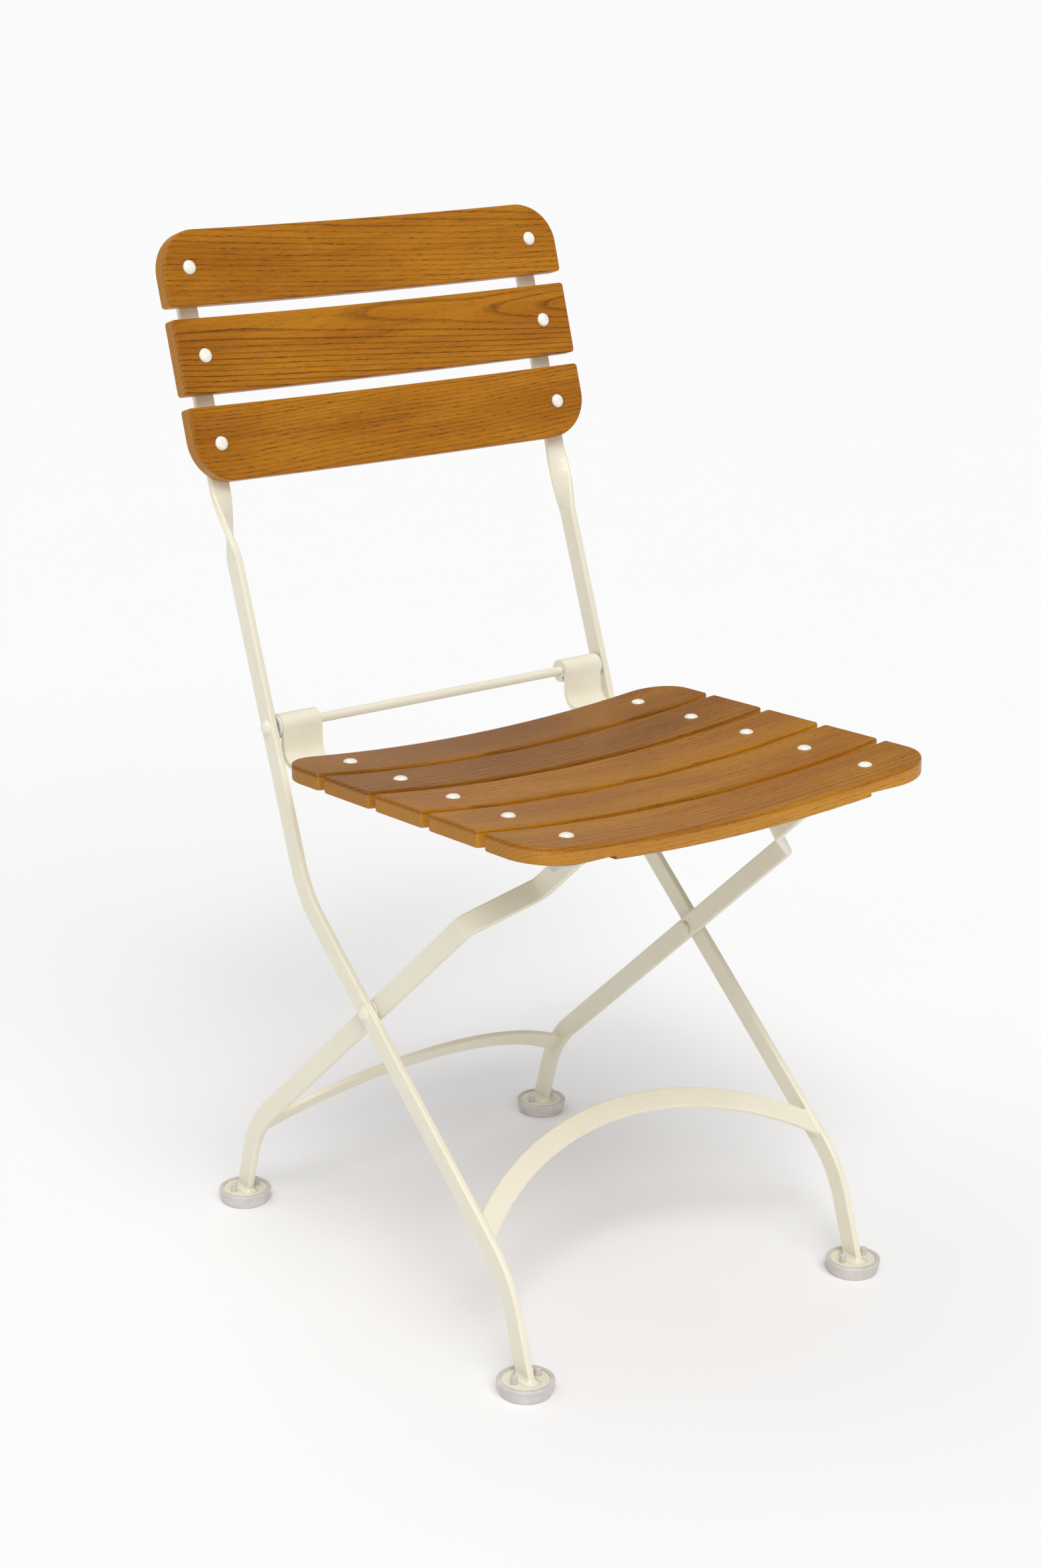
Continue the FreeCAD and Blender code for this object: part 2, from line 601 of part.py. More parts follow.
cap_inner = size("rear_leg_x") - size("jog_inward") + half_bar + size("side_gap")
cap_outer = cap_inner + size("cap_length")
bar_end = cap_outer - size("cap_wall")
crossbar = doc.addObject("Part::Cylinder", "crossbar")
crossbar.setExpression("Radius", "Sizes.rod_radius")
crossbar.Height = 2 * bar_end
finish(crossbar, "crossbar", FreeCAD.Placement(slider - X_AXIS * bar_end,
                                               FreeCAD.Rotation(Vec(0, 0, 1), X_AXIS)))
for name, side in SIDES:
    cap = Part.makeCylinder(size("cap_radius"), size("cap_length"), Vec(cap_inner, 0, 0), X_AXIS)
    cap = cap.makeFillet(size("cap_wall") / 2, [e for e in cap.Edges if e.Curve.TypeId == "Part::GeomCircle"])
    bore = Part.makeCylinder(size("rod_radius") + size("fit_gap") / 2, size("cap_length") - size("cap_wall"),
                             Vec(cap_inner, 0, 0), X_AXIS)
    turn = FreeCAD.Rotation(Vec(0, 0, 1), 0 if side > 0 else 180)
    shape_part(f"slide_cap_{name}", cap.cut(bore), FreeCAD.Placement(slider, turn))


# ---------------------------------------------------------------- seat straps, bushes and stops

def seat_strap(label, side):
    """Flat strap under the seat: rolled eye on the rod, down, and forward under the slats."""
    body = doc.addObject("PartDesign::Body", label)
    sketch = new_sketch(body, "YZ_Plane")
    inner = size("eye_inner")
    outer = inner + size("strap_thick")
    bend = size("strap_bend")
    wrap = size("eye_wrap")
    bend_y = -outer - bend
    bend_z = strap_top + bend

    def polar(radius, degrees):
        # angles count from the front of the eye over its top
        return Vec(-radius * math.cos(math.radians(degrees)), radius * math.sin(math.radians(degrees)), 0)

    sketch.addGeometry(arc_between((0, 0), inner, 180 - wrap, 180))
    sketch.addGeometry(arc_between((0, 0), outer, 180 - wrap, 180))
    sketch.addGeometry(Part.LineSegment(polar(inner, wrap), polar(outer, wrap)))
    sketch.addGeometry(Part.LineSegment(Vec(-inner, 0, 0), Vec(-inner, bend_z, 0)))
    sketch.addGeometry(arc_between((bend_y, bend_z), bend + size("strap_thick"), 270, 360))
    sketch.addGeometry(Part.LineSegment(Vec(bend_y, strap_under, 0), Vec(-size("strap_reach"), strap_under, 0)))
    sketch.addGeometry(Part.LineSegment(Vec(-size("strap_reach"), strap_under, 0),
                                        Vec(-size("strap_reach"), strap_top, 0)))
    sketch.addGeometry(Part.LineSegment(Vec(-size("strap_reach"), strap_top, 0), Vec(bend_y, strap_top, 0)))
    sketch.addGeometry(arc_between((bend_y, bend_z), bend, 270, 360))
    sketch.addGeometry(Part.LineSegment(Vec(-outer, bend_z, 0), Vec(-outer, 0, 0)))
    pad(body, sketch, "Sizes.strap_width")
    holes = new_sketch(body, "XY_Plane")
    for y in seat_rivets:
        draw_circle(holes, side * (size("seat_rivet_x") - size("strap_x")), y,
                    "Sizes.slat_rivet_shank + Sizes.fit_gap")
    pocket(body, holes)
    place = seat_frame.multiply(FreeCAD.Placement(Vec(side * size("strap_x"), 0, 0), FreeCAD.Rotation()))
    return finish(body, label, place)


for name, side in SIDES:
    seat_strap(f"seat_strap_{name}", side)
    x_start = side * size("strap_x") - size("strap_width") / 2
    bush = Part.makeCylinder(size("eye_inner") - size("running_gap"), size("strap_width"),
                             Vec(x_start, 0, 0), X_AXIS)
    bush = bush.cut(cross_hole(0, 0, x_start, x_start + size("strap_width"),
                               size("rod_radius") + size("running_gap")))
    slit = Part.makeBox(size("strap_width"), size("eye_inner"), size("bush_slit"),
                        Vec(x_start, -size("eye_inner"), -size("bush_slit") / 2))
    shape_part(f"hinge_bush_{name}", bush.cut(slit), seat_frame)

stops = []
stop_y = -(size("slider_reach") + size("cap_radius") + size("side_gap") + size("stop_radius"))
for _, side in SIDES:
    stops.append(Part.makeCylinder(size("stop_radius"), size("stop_length"),
                                   Vec(side * (cap_inner + size("cap_length") / 2), stop_y,
                                       strap_under - size("stop_length"))))
shape_part("seat_stops", Part.makeCompound(stops), seat_frame)


# ---------------------------------------------------------------- feet

def foot_plate(label, placement):
    """Steel disc at the end of a leg, with two holes for the glide's pegs."""
    body = doc.addObject("PartDesign::Body", label)
    disc = new_sketch(body, "XY_Plane")
    draw_circle(disc, 0, 0, "Sizes.plate_radius")
    feature = body.newObject("PartDesign::Pad", f"{body.Name}_Pad")
    feature.Profile = disc
    feature.setExpression("Length", "Sizes.plate_thick")
    doc.recompute()
    holes = new_sketch(body, "XY_Plane")
    for side in (1, -1):
        draw_circle(holes, side * size("peg_offset"), 0, "Sizes.peg_radius + Sizes.fit_gap")
    pocket(body, holes)
    return finish(body, label, placement)


def glide(label, placement):
    """Plastic cup under the foot plate, with two pegs that stand up through the plate."""
    high = size("glide_high")
    cup = Part.makeCone(size("glide_base_radius"), size("glide_radius"), high)
    rounding = [e for e in cup.Edges if e.Curve.TypeId == "Part::GeomCircle"]
    cup = cup.makeFillet(size("glide_round"), rounding)
    recess = Part.makeCylinder(size("plate_radius") + size("fit_gap"), high, Vec(0, 0, size("glide_floor")))
    cup = cup.cut(recess)
    for side in (1, -1):
        peg = Part.makeCylinder(size("peg_radius"), size("peg_top") - size("glide_floor") / 2,
                                Vec(side * size("peg_offset"), 0, size("glide_floor") / 2))
        tip = [e for e in peg.Edges if e.BoundBox.ZMin > size("peg_top") - 1e-3]
        cup = cup.fuse(peg.makeFillet(size("peg_round"), tip))
    return shape_part(label, cup.removeSplitter(), placement)


for end, foot, x in (("front", side_foot, size("side_bar_x")), ("rear", rear_foot, size("rear_leg_x"))):
    for name, side in SIDES:
        ground = Vec(side * x, foot.y, 0)
        foot_plate(f"foot_plate_{end}_{name}",
                   FreeCAD.Placement(ground + Vec(0, 0, size("glide_floor")), FreeCAD.Rotation()))
        glide(f"glide_{end}_{name}", FreeCAD.Placement(ground, FreeCAD.Rotation()))


# ---------------------------------------------------------------- check and export

doc.recompute()
for obj in doc.Objects:
    if {"Invalid", "Error"} & set(obj.State):
        raise RuntimeError(f"{obj.Label} failed: {obj.State}")
labels = [part.Label for part in PARTS]
if len(set(labels)) != len(labels):
    raise RuntimeError("two sub-parts share a name")
os.makedirs("parts", exist_ok=True)
for part in PARTS:
    if part.Shape.isNull() or not part.Shape.isValid():
        raise RuntimeError(f"{part.Label} has no valid shape")
    part.Shape.exportStep(f"parts/{part.Label}.step")
print(len(PARTS), "sub-parts written")
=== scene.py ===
import math

import bmesh
import bpy
from mathutils import Matrix, Vector


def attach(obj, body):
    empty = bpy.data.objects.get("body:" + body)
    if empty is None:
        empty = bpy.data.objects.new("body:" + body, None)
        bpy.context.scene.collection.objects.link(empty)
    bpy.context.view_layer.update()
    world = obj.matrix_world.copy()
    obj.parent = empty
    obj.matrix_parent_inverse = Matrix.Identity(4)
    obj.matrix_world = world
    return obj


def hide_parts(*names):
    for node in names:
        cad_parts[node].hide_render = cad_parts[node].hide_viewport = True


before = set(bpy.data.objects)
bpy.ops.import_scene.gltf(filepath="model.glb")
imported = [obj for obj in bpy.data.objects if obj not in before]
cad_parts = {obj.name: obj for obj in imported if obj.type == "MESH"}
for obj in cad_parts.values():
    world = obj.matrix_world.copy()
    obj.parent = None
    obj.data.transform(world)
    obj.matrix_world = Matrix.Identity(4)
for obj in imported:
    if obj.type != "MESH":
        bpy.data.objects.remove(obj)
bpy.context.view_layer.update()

# ------------------------------------------------------------------ the chair's own sizes

PIVOT = Vector((0, -0.0092, 0.2461))
HINGE = Vector((0, 0.1288, 0.4531))
SIDE_SLOPE, REAR_SLOPE = 40.2, 41.8
FRONT_FOOT_LEAN, REAR_FOOT_LEAN = 18.5, 16
FRONT_FOOT_Y, REAR_FOOT_Y, FOOT_DISC_TOP = -0.2235, 0.1970, 0.011
REAR_FOOT_BEND_Z, BEND_RADIUS = 0.0792, 0.100
ARCH_RADIUS, ARCH_WIDTH, ARCH_THICK, ARCH_EDGE = 0.263, 0.018, 0.005, 0.0012
FRONT_ARCH_FROM_PIVOT, FRONT_ARCH_OFFSET, REAR_ARCH_TILT = 0.2053, 0.004, 50
SEAT_TILT = 2.7
BACK_LEAN = 17.5
SEAT_HALF, BACK_HALF = 0.2025, 0.200
SLAT_HALF_WIDTH, SLAT_THICK = 0.031, 0.014
DISH_RADIUS = 1.650
BIG_CORNER, SMALL_CORNER = 0.036, 0.003
STRAP_TOP, STRAP_THICK = -0.0291, 0.004
STRAP_X, STRAP_LANDING = 0.1475, 0.040
BAR_X, REAR_LEG_X, BAR_WIDTH, BAR_THICK, BAR_EDGE = 0.1735, 0.1655, 0.018, 0.006, 0.0018
LANDING_MARGIN = 0.001
BAR_LANDING = BAR_WIDTH + 2 * LANDING_MARGIN
SEAT_SLATS, BACK_SLATS = 5, 3
SEAT_RIVET_X, FIRST_SEAT_RIVET, SEAT_PITCH = 0.150, 0.0823, 0.0705
BACK_PITCH = 0.0722
BACK_BEND = HINGE + Vector((0, 0.0681, 0.1838))
FIRST_BACK_SLAT = 0.039
SPOT_FACE = 0.0008


def tilted(degrees):
    """A turn about the chair's cross axis, as a 4 by 4 matrix."""
    return Matrix.Rotation(math.radians(degrees), 4, "X")


def direction(degrees):
    """Unit vector in the side view, measured from +Y towards +Z."""
    return Vector((0, math.cos(math.radians(degrees)), math.sin(math.radians(degrees))))


def dish_rise(x):
    """How far a dished slat has risen at a distance from its middle."""
    return DISH_RADIUS - math.sqrt(DISH_RADIUS ** 2 - x * x)


SEAT_FRAME = Matrix.Translation(HINGE) @ tilted(-SEAT_TILT)
BACK_UP = tilted(-BACK_LEAN) @ Vector((0, 0, 1))
BACK_FORWARD = tilted(90 - BACK_LEAN) @ Vector((0, 0, 1))


# ------------------------------------------------------------------ node trees

class Wire:
    """One output of a node, usable in arithmetic; each operation adds its Math node."""

    def __init__(self, tree, socket):
        self.tree, self.socket = tree, socket

    def sum(self, operation, *values):
        return self.tree.node("ShaderNodeMath", {"operation": operation}, dict(enumerate(values)))

    def __add__(self, other):
        return self.sum("ADD", self, other)

    def __sub__(self, other):
        return self.sum("SUBTRACT", self, other)

    def __mul__(self, other):
        return self.sum("MULTIPLY", self, other)

    def __truediv__(self, other):
        return self.sum("DIVIDE", self, other)

    def __pow__(self, other):
        return self.sum("POWER", self, other)

    def __rsub__(self, other):
        return self.sum("SUBTRACT", other, self)

    def __neg__(self):
        return self.sum("MULTIPLY", self, -1)

    def __abs__(self):
        return self.sum("ABSOLUTE", self)

    __radd__ = __add__
    __rmul__ = __mul__

    def func(self, operation, *others):
        return self.sum(operation, self, *others)


class Tree:
    """A node tree; every node goes in through node()."""

    def __init__(self, tree):
        self.tree = tree
        tree.nodes.clear()

    def node(self, kind, settings=None, sockets=None, output=0):
        made = self.tree.nodes.new(kind)
        for name, value in (settings or {}).items():
            if name == "stops":
                ramp = made.color_ramp
                while len(ramp.elements) < len(value):
                    ramp.elements.new(1)
                for element, (place, colour) in zip(ramp.elements, value):
                    element.position, element.color = place, colour
            else:
                setattr(made, name, value)
        for key, value in (sockets or {}).items():
            if isinstance(value, Wire):
                self.tree.links.new(value.socket, made.inputs[key])
            elif isinstance(value, list):
                for wire in value:
                    self.tree.links.new(wire.socket, made.inputs[key])
            else:
                made.inputs[key].default_value = value
        return Wire(self, made.outputs[output]) if made.outputs else None

    def parts(self, vector):
        """The x, y and z of a vector."""
        x = self.node("ShaderNodeSeparateXYZ", None, {0: vector})
        outputs = x.socket.node.outputs
        return x, Wire(self, outputs[1]), Wire(self, outputs[2])

    def vector(self, x, y, z):
        return self.node("ShaderNodeCombineXYZ", None, {0: x, 1: y, 2: z})


class Finish(Tree):
    """A material and its nodes."""

    def __init__(self, name):
        self.material = bpy.data.materials.new(name)
        self.material.use_nodes = True
        super().__init__(self.material.node_tree)

    def place(self):
        """Where on the object a point lies."""
        return self.node("ShaderNodeTexCoord", None, None, "Object")

    def moved(self, offset):
        """Where on the object a point lies, shifted so that each finish has a pattern of its own."""
        return self.node("ShaderNodeVectorMath", {"operation": "ADD"}, {0: self.place(), 1: offset})

    def fade(self, value, low, high):
        """0 below low, 1 above high and a soft step between; low may be the larger."""
        return self.node("ShaderNodeMapRange", {"interpolation_type": "SMOOTHSTEP"},
                         {0: value, 1: low, 2: high, 3: 0.0, 4: 1.0})

    def noise(self, vector, scale, detail=2.0, rough=0.5):
        return self.node("ShaderNodeTexNoise", None,
                         {"Vector": vector, "Scale": scale, "Detail": detail, "Roughness": rough})

    def mix(self, factor, first, second, blend="MIX"):
        return self.node("ShaderNodeMix", {"data_type": "RGBA", "blend_type": blend},
                         {0: factor, 6: first, 7: second}, 2)

    def finish(self, colour, roughness, bump, depth, **constants):
        """The surface itself, from its colour, roughness and height."""
        relief = self.node("ShaderNodeBump", None, {"Strength": 1.0, "Distance": depth, "Height": bump})
        sockets = {"Base Color": colour, "Roughness": roughness, "Normal": relief}
        sockets.update({name.replace("_", " "): value for name, value in constants.items()})
        surface = self.node("ShaderNodeBsdfPrincipled", None, sockets)
        self.node("ShaderNodeOutputMaterial", None, {"Surface": surface})
        return self.material


def rgb(red, green, blue):
    """A colour given in display values of 0 to 255."""
    def linear(value):
        value /= 255
        return value / 12.92 if value <= 0.04045 else ((value + 0.055) / 1.055) ** 2.4
    return (linear(red), linear(green), linear(blue), 1.0)


def shade(colour, amount):
    """A colour made darker by a factor."""
    return tuple(c * amount for c in colour[:3]) + (1.0,)


# ------------------------------------------------------------------ finishes

def powder_coat(name, colour, seed, gloss=0.33, peel=1.0):
    """Cream powder coat: faint orange peel, slow drift of tone and a few pinholes."""
    coat = Finish(name)
    where = coat.moved((seed, -seed, seed))
    drift = coat.noise(where, 9.0, 3.0)
    cloud = coat.noise(where, 55.0, 4.0, 0.6)
    speck = coat.noise(where, 1300.0, 2.0, 0.6)
    warm = tuple(c * k for c, k in zip(colour, (0.985, 0.978, 0.955))) + (1.0,)
    pale = tuple(min(c * 1.01, 1) for c in colour[:3]) + (1.0,)
    tone = coat.mix(coat.fade(drift * 0.6 + cloud * 0.4, 0.36, 0.64), warm, pale)
    tone = coat.mix((speck - 0.5) * 0.18 + 0.06, tone, rgb(150, 140, 120))
    cells = coat.node("ShaderNodeTexVoronoi", {"feature": "F1"}, {"Vector": where, "Scale": 95.0})
    pinhole = coat.fade(cells, 0.045, 0.02) * coat.fade(cloud, 0.52, 0.60)
    tone = coat.mix(pinhole * 0.55, tone, rgb(120, 108, 88))
    peel_height = coat.noise(where, 620.0, 1.5, 0.45)
    height = peel_height * peel * 0.30 - pinhole * 1.6 + cloud * 0.10
    rough = gloss + (cloud - 0.5) * 0.08 + pinhole * 0.3
    return coat.finish(tone, rough, height, 0.00016, Coat_Weight=0.15, Coat_Roughness=0.22, IOR=1.5)


def moulded_plastic(name, colour, seed):
    """Cool white plastic with a fine moulded grain, faint flow marks and scuffs."""
    plastic = Finish(name)
    where = plastic.moved((seed, seed, 0))
    flow = plastic.noise(where, 70.0, 3.0, 0.6)
    grain = plastic.noise(where, 1900.0, 2.0, 0.6)
    tone = plastic.mix(plastic.fade(flow, 0.35, 0.7), shade(colour, 0.86), colour)
    scuff = plastic.fade(plastic.noise(where, 240.0, 4.0, 0.75), 0.60, 0.72)
    tone = plastic.mix(scuff * 0.22, tone, rgb(168, 160, 158))
    rough = 0.44 + (flow - 0.5) * 0.18 + scuff * 0.12
    return plastic.finish(tone, rough, grain * 0.6 + flow * 0.9, 0.00013,
                          Subsurface_Weight=0.12, Subsurface_Scale=0.002, IOR=1.48)


def hammered_steel(name):
    """Bare metal of the collars, lightly hammered and a little dull."""
    steel = Finish(name)
    where = steel.place()
    rough_cells = steel.node("ShaderNodeTexVoronoi", {"feature": "F1"},
                             {"Vector": where, "Scale": 620.0})
    stain = steel.noise(where, 230.0, 4.0, 0.7)
    tone = steel.mix(steel.fade(stain, 0.40, 0.62), rgb(96, 84, 70), rgb(196, 190, 180))
    return steel.finish(tone, 0.30 + stain * 0.25, rough_cells + stain * 0.5, 0.0006, Metallic=0.92)


def rivet_enamel(name):
    """Off-white enamel on the rivet heads, faintly mottled."""
    enamel = Finish(name)
    where = enamel.place()
    mottle = enamel.noise(where, 420.0, 3.0, 0.6)
    fine = enamel.noise(where, 2400.0, 2.0)
    tone = enamel.mix(enamel.fade(mottle, 0.36, 0.62), rgb(232, 228, 214), rgb(246, 244, 236))
    return enamel.finish(tone, 0.26 + mottle * 0.12, mottle + fine * 0.4, 0.00012, Coat_Weight=0.25)


PLAIN_FIGURE, BOLD_FIGURE = 0.50, 0.85


def oiled_slat(name, place, half_length, corners, pith, drift, spacing, tones, seed, figure=PLAIN_FIGURE):
    """Honey-brown slat: rings about a pith line, pore streaks, end grain, and arrises painted paler,
    partly as edge wear and partly as a painted highlight.

    place is the slat's own frame, corners the radii at its -Y and +Y ends, pith the middle of the
    tree's rings in the slat's section and drift how that middle moves along the slat. figure is how
    strongly the rings show.
    """
    wood = Finish(name)
    own = wood.node("ShaderNodeMapping", {"vector_type": "TEXTURE"},
                    {"Vector": wood.place(), "Location": place.to_translation(),
                     "Rotation": place.to_euler()})
    x, y, z = wood.parts(own)
    z = z - x * x * (0.5 / DISH_RADIUS)
    nudge = Vector((seed * 0.37, seed * 0.11, seed * 0.23))

    def streaks(along, across, detail=2.0, rough=0.5):
        """Noise drawn out along the grain."""
        return wood.noise(wood.vector(x * along + nudge.x, y * across + nudge.y, z * across + nudge.z),
                          1.0, detail, rough)

    sway = (streaks(3.5, 9.0) - 0.5) * 0.012 + (streaks(16.0, 50.0) - 0.5) * 0.0016
    ring_y = y - pith[0] - x * drift[0] + sway
    ring_z = z - pith[1] - x * drift[1] - x * x * drift[2] + sway
    radius = (ring_y * ring_y + ring_z * ring_z) ** 0.5
    year = radius / spacing + (streaks(2.5, 30.0) - 0.5) * 0.5
    part = year.func("FRACT")
    early = wood.fade(part, 0.34, 0.02) + wood.fade(part, 0.91, 1.0)
    strong = wood.noise(wood.vector(year.func("FLOOR") * 3.7, x * 3.0, seed), 1.0, 1.0)
    early = early * (wood.fade(strong, 0.30, 0.72) * 0.6 + 0.4)

    fibre = streaks(34.0, 2300.0, 3.0, 0.65)
    bands = streaks(8.0, 430.0)
    cloud = streaks(5.0, 22.0, 3.0, 0.6)
    pore_field = streaks(130.0, 1500.0, 1.0)
    pores = wood.fade(pore_field, 0.59, 0.67) * (early * 0.75 + 0.25)
    light, middle, dark = tones
    tone = wood.mix(wood.fade(cloud, 0.32, 0.68), middle, light)
    tone = wood.mix(early * figure, tone, dark)
    tone = wood.mix(wood.fade(bands, 0.50, 0.68) * 0.20, tone, dark)
    tone = wood.mix(wood.fade(bands, 0.48, 0.34) * 0.14, tone, light)
    tone = wood.mix(wood.fade(fibre, 0.50, 0.72) * 0.34, tone, dark)
    tone = wood.mix(wood.fade(fibre, 0.48, 0.28) * 0.20, tone, light)
    tone = wood.mix(pores * 0.70, tone, shade(dark, 0.42))

    # end grain, wherever the surface faces along the slat
    facing = wood.parts(wood.node("ShaderNodeTexCoord", None, None, "Normal"))[0]
    end = wood.fade(abs(facing), 0.55, 0.86)
    vessels = wood.noise(wood.vector(y * 2100.0, z * 2100.0, x * 300.0 + seed), 1.0, 1.0)
    dots = wood.fade(vessels, 0.60, 0.72)
    end_tone = wood.mix(early * 0.62, shade(middle, 0.80), shade(dark, 0.62))
    end_tone = wood.mix(dots * 0.40, end_tone, shade(dark, 0.35))
    tone = wood.mix(end * 0.85, tone, end_tone)

    # arrises a little paler, partly as edge wear and partly as a painted highlight, from the distance to
    # the slat's rounded outline
    toward = wood.fade(y, -0.0001, 0.0001)
    corner = toward * (corners[1] - corners[0]) + corners[0]
    over_x = (abs(x) - half_length + corner).func("MAXIMUM", 0.0)
    over_y = (abs(y) - SLAT_HALF_WIDTH + corner).func("MAXIMUM", 0.0)
    edge = (over_x * over_x + over_y * over_y) ** 0.5 - corner
    worn_and_highlit_arris = wood.fade(edge, -0.0026, -0.0006) * wood.fade(abs(z - SLAT_THICK / 2), 0.0035, 0.0060)
    # painted highlight mixed with edge wear: the arrises are lightened towards a pale amber
    tone = wood.mix(worn_and_highlit_arris * 0.30, tone, rgb(228, 166, 70))

    height = fibre * 0.22 - pores * 1.1 - early * 0.16 + cloud * 0.5
    rough = 0.40 + (cloud - 0.5) * 0.12 + pores * 0.2 + end * 0.16 + (fibre - 0.5) * 0.10
    return wood.finish(tone, rough, height, 0.00035, Specular_IOR_Level=0.32, Coat_Weight=0.06,
                       Coat_Roughness=0.34, IOR=1.42)


CREAM = rgb(237, 232, 212)
frame_coat = powder_coat("cream_powder_coat", CREAM, 0.0)
leg_coat = powder_coat("cream_powder_coat_legs", CREAM, 1.7)
strap_coat = powder_coat("cream_powder_coat_straps", CREAM, 3.1, gloss=0.38)
weld_coat = powder_coat("cream_weld_coat", CREAM, 5.3, gloss=0.20, peel=0.3)
cap_plastic = moulded_plastic("slide_cap_plastic", rgb(222, 219, 218), 0.4)
glide_plastic = moulded_plastic("glide_plastic", rgb(214, 209, 205), 2.2)
washer_plastic = moulded_plastic("washer_plastic", rgb(238, 236, 232), 4.9)
collar_steel = hammered_steel("collar_steel")
head_enamel = rivet_enamel("rivet_enamel")

HONEY = (rgb(182, 122, 22), rgb(163, 101, 10), rgb(98, 51, 2))
AMBER = (rgb(182, 118, 16), rgb(163, 98, 6), rgb(94, 47, 2))
BROWN = (rgb(162, 106, 24), rgb(140, 85, 13), rgb(86, 44, 3))


# ------------------------------------------------------------------ slats

SEAT_PLACES = [SEAT_FRAME @ Matrix.Translation((0, -FIRST_SEAT_RIVET - SEAT_PITCH * n, STRAP_TOP))
               for n in range(SEAT_SLATS)]
BACK_POINTS = [BACK_BEND + BACK_UP * (FIRST_BACK_SLAT + BACK_PITCH * n) for n in range(BACK_SLATS)]
BACK_PLACES = [Matrix.Translation(point + BACK_FORWARD * BAR_THICK / 2) @ tilted(90 - BACK_LEAN)
               for point in BACK_POINTS]

# corner radii at the -Y and +Y edges of the outermost slats
CORNERS = {1: (SMALL_CORNER, BIG_CORNER), SEAT_SLATS: (BIG_CORNER, SMALL_CORNER),
           "top": (SMALL_CORNER, BIG_CORNER), "bottom": (BIG_CORNER, SMALL_CORNER)}

# for each seat slat from the back: pith in its section, drift along it, ring spacing, tones
SEAT_GRAIN = [
    ((0.070, -0.060), (0.05, 0.03, 0.0), 0.0036, BROWN),
    ((-0.055, -0.085), (-0.04, 0.05, 0.0), 0.0031, BROWN),
    ((0.060, -0.072), (0.03, -0.03, 0.0), 0.0032, HONEY),
    ((0.090, -0.050), (0.02, 0.02, 0.0), 0.0028, HONEY),
    ((-0.045, -0.060), (-0.04, 0.04, 0.0), 0.0034, HONEY),
]
for number, (place, grain) in enumerate(zip(SEAT_PLACES, SEAT_GRAIN), 1):
    ends = CORNERS.get(number, (SMALL_CORNER, SMALL_CORNER))
    material = oiled_slat(f"oiled_seat_slat_{number}", place, SEAT_HALF, ends, *grain, seed=number * 3.3)
    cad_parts[f"seat_slat_{number}"].material_slots[0].material = material

# backrest slats from the bottom; their own +Y points up
BACK_GRAIN = [
    ("bottom", ((-0.085, -0.050), (0.02, 0.03, 0.0), 0.0030, AMBER)),
    ("middle", ((0.022, -0.016), (-0.055, 0.02, 0.10), 0.0040, AMBER)),
    ("top", ((0.075, -0.065), (-0.05, 0.02, 0.0), 0.0034, AMBER)),
]
for (word, grain), place in zip(BACK_GRAIN, BACK_PLACES):
    ends = CORNERS.get(word, (SMALL_CORNER, SMALL_CORNER))
    material = oiled_slat(f"oiled_backrest_slat_{word}", place, BACK_HALF, ends, *grain,
                          seed=len(word) * 7.1, figure=BOLD_FIGURE if word == "middle" else PLAIN_FIGURE)
    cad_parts[f"backrest_slat_{word}"].material_slots[0].material = material


# ------------------------------------------------------------------ metal and plastic nodes

NODE_FINISHES = [
    (("side_bar", "front_arch", "hinge_rod", "pivot_rivet", "foot_plate_front"), frame_coat),
    (("rear_leg", "rear_arch", "foot_plate_rear", "crossbar"), leg_coat),
    (("seat_strap", "seat_stops"), strap_coat),
    (("glide",), glide_plastic),
    (("slide_cap",), cap_plastic),
    (("pivot_washer", "hinge_washer", "hinge_bush"), washer_plastic),
    (("hinge_collar",), collar_steel),
    (("seat_rivets", "backrest_rivets"), head_enamel),
]
for starts, material in NODE_FINISHES:
    for name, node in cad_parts.items():
        if name.startswith(starts):
            node.material_slots[0].material = material


# ------------------------------------------------------------------ geometry grown by nodes

class Growth(Tree):
    """A Geometry Nodes tree with named inputs."""

    def __init__(self, name, inputs):
        self.group = bpy.data.node_groups.new(name, "GeometryNodeTree")
        super().__init__(self.group)
        face = self.group.interface
        face.new_socket("Geometry", in_out="INPUT", socket_type="NodeSocketGeometry")
        self.names = {}
        for label, kind in inputs.items():
            made = face.new_socket(label, in_out="INPUT", socket_type=f"NodeSocket{kind}")
            self.names[label] = made.identifier
        face.new_socket("Geometry", in_out="OUTPUT", socket_type="NodeSocketGeometry")
        self.entry = self.node("NodeGroupInput").socket.node

    def given(self, label):
        """The wire of a named input."""
        return Wire(self, self.entry.outputs[label])

    def close(self, geometry):
        """End in real, smooth mesh with its material."""
        real = self.node("GeometryNodeRealizeInstances", None, {0: geometry})
        painted = self.node("GeometryNodeSetMaterial", None,
                            {"Geometry": real, "Material": self.given("Finish")})
        self.node("NodeGroupOutput", None, {0: painted})

    def grow(self, name, body, values, place=None, seed_mesh=None):
        """Run the tree once and keep its result as a plain mesh piece that rides on a body."""
        mesh = seed_mesh or bpy.data.meshes.new(f"{name}_seed")
        source = bpy.data.objects.new(f"{name}_seed", mesh)
        bpy.context.scene.collection.objects.link(source)
        modifier = source.modifiers.new("growth", "NODES")
        modifier.node_group = self.group
        for label, value in values.items():
            modifier[self.names[label]] = value
        bpy.context.view_layer.update()
        evaluated = source.evaluated_get(bpy.context.evaluated_depsgraph_get())
        grown = bpy.data.meshes.new_from_object(evaluated)
        source.modifiers.remove(modifier)
        bpy.data.objects.remove(source)
        if place is not None:
            grown.transform(place)
        return piece(name, grown, body)


def piece(name, mesh, body, material=None):
    """A finished piece at the origin, riding on one body."""
    obj = bpy.data.objects.new(name, mesh)
    bpy.context.scene.collection.objects.link(obj)
    if material is not None:
        mesh.materials.append(material)
    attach(obj, body)
    return obj


